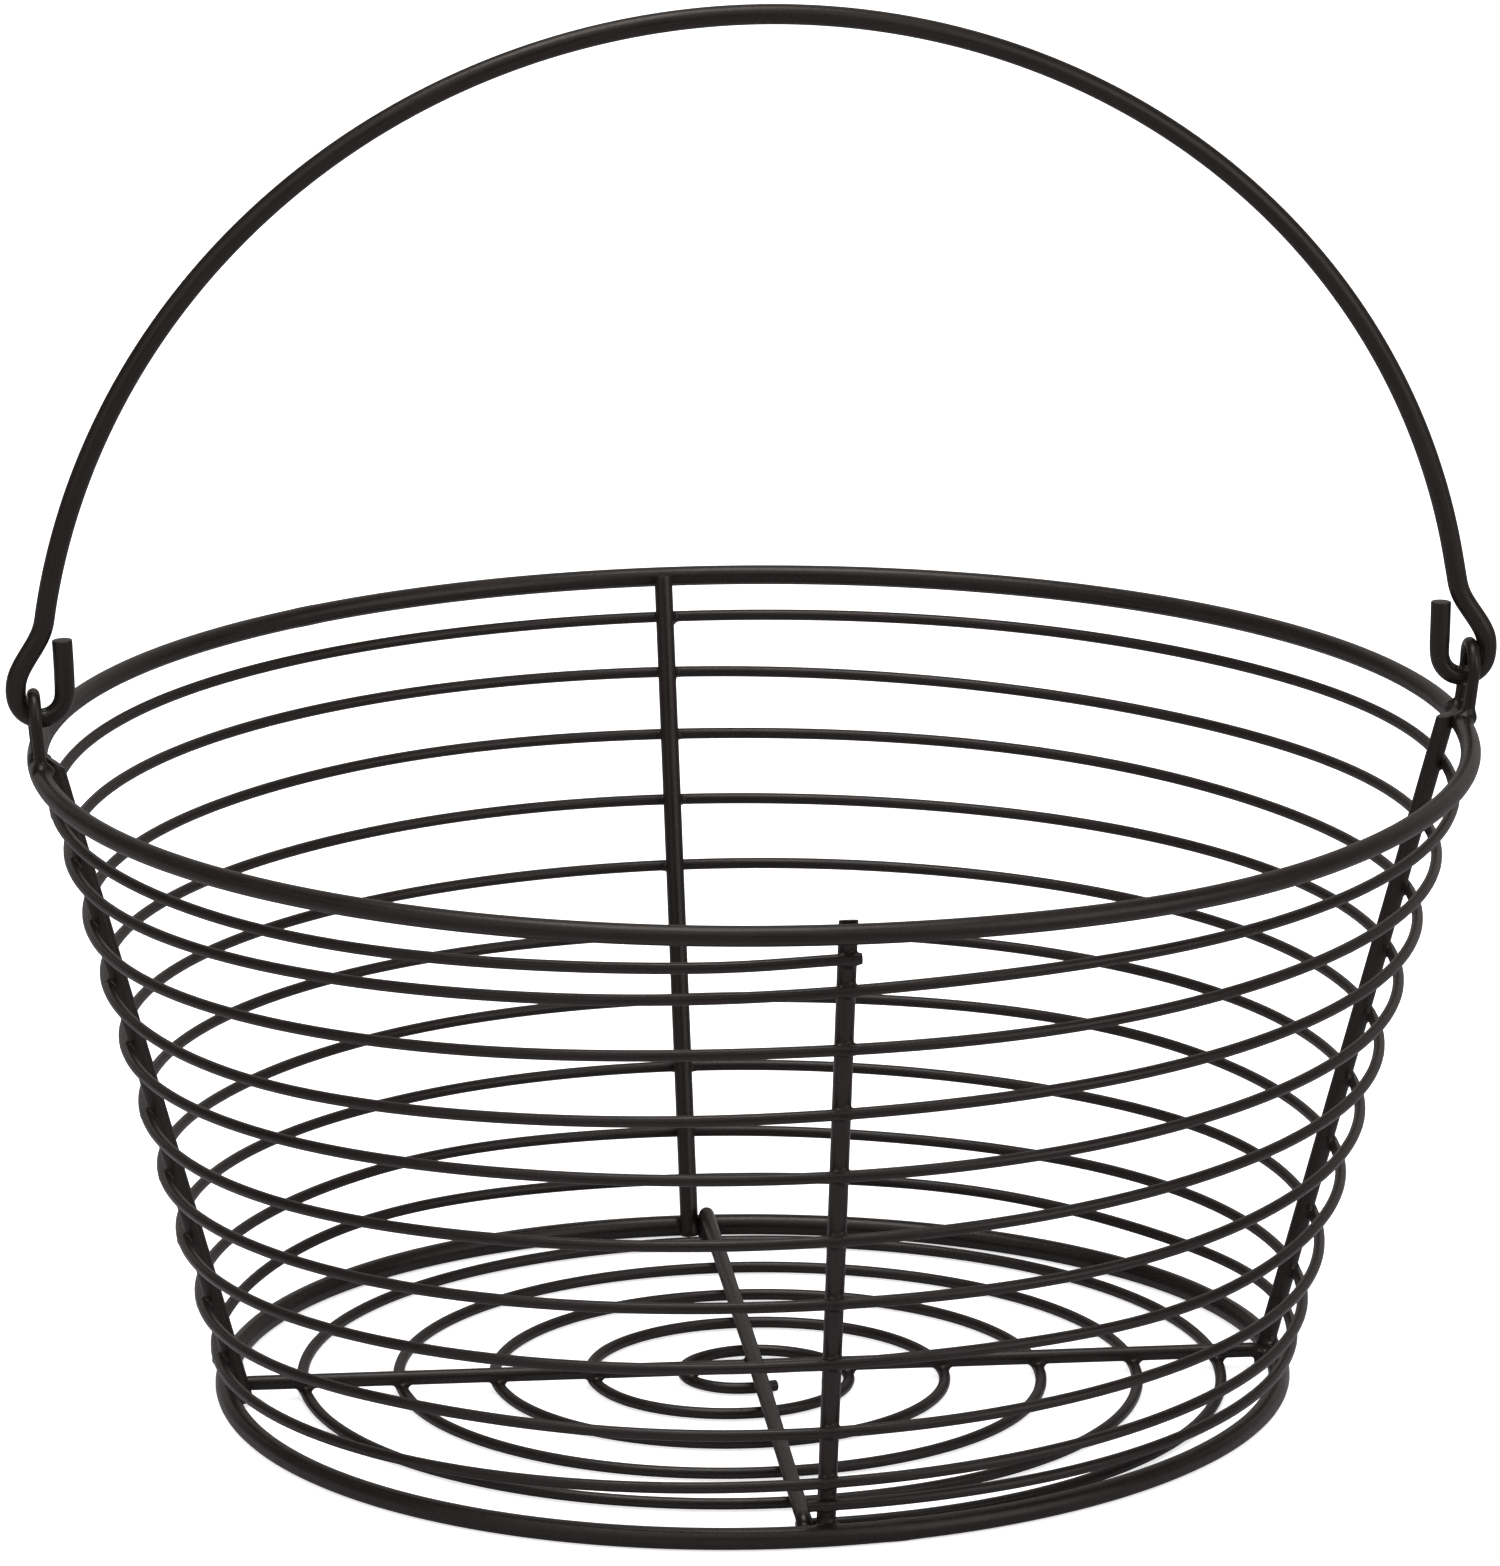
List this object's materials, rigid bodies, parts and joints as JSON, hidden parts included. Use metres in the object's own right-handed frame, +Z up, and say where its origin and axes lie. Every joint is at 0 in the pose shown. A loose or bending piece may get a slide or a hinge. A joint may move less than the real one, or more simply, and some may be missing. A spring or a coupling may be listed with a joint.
{
  "type": "wire produce basket",
  "caption": "Round tapering wire basket in satin black coated steel, with an open spiral wall and floor and a swinging bail handle hooked into eyelets on the rim.",
  "frame": {"origin": "centre of the base ring, on the plane the basket rests on", "axes": "+X from the left eyelet to the right eyelet, along the handle's hinge; -Y towards the front upright, where the side wire starts and ends; +Z up"},
  "size_m": [0.3546, 0.3442, 0.336],
  "materials": {
    "frame_wire": "satin black coating over heavy drawn steel wire",
    "fill_wire": "satin black coating over thin drawn steel wire",
    "handle_wire": "satin black coating over heavy drawn steel wire, rubbed brighter inside the hooks"
  },
  "bodies": {
    "basket": {"rim_ring": "frame_wire", "base_ring": "frame_wire", "upright_front": "frame_wire", "upright_back": "frame_wire", "upright_left": "frame_wire", "upright_right": "frame_wire", "side_spiral_wire": "fill_wire", "base_spiral_wire": "fill_wire", "floor_bar_left_right": "frame_wire", "floor_bar_front_back": "frame_wire", "eyelet_left": "frame_wire", "eyelet_right": "frame_wire"},
    "handle": {"bail_handle": "handle_wire"}
  },
  "joints": [
    {"name": "handle_swing", "type": "hinge", "parent": "basket", "child": "handle", "pos_m": [0, 0, 0.1703], "axis": [1, 0, 0], "range_deg": [-92.6, 92.6]}
  ]
}
